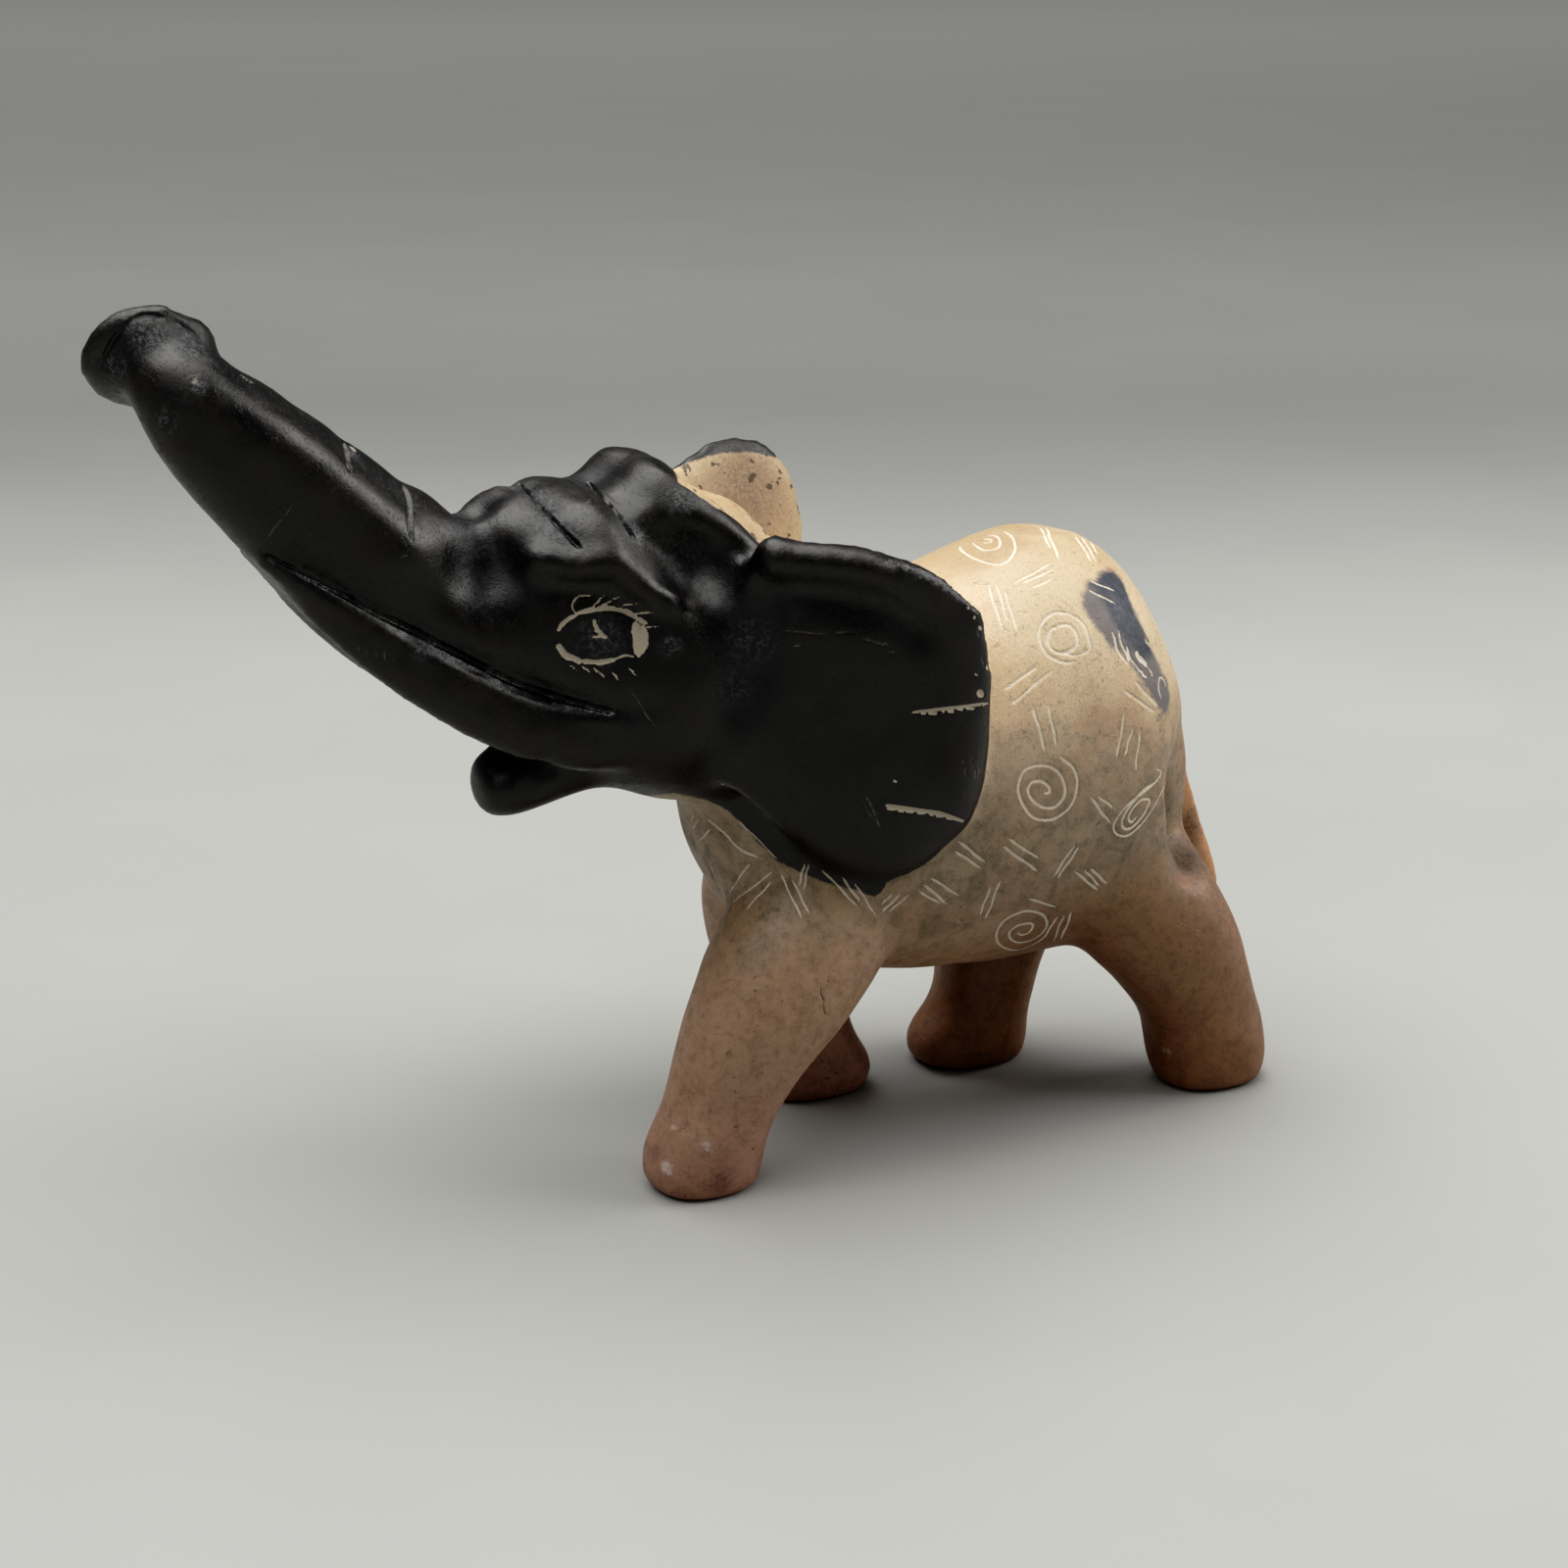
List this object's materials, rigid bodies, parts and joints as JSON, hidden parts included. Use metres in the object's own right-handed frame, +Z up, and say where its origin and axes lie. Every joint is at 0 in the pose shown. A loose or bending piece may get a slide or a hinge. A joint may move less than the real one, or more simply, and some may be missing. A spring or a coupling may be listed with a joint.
{
  "type": "stone elephant figurine",
  "caption": "Carved soapstone elephant striding with its trunk raised, part dyed black and cut with fine marks, standing on flat soles.",
  "frame": {"origin": "on the floor, under the middle of the figure's box", "axes": "-X the way the elephant faces, -Y its left side, +Z up"},
  "size_m": [0.1936, 0.0658, 0.1441],
  "materials": {
    "soapstone": "hand-polished soapstone, satin, part dyed near-black"
  },
  "bodies": {
    "root": {"elephant": "soapstone"}
  },
  "joints": []
}
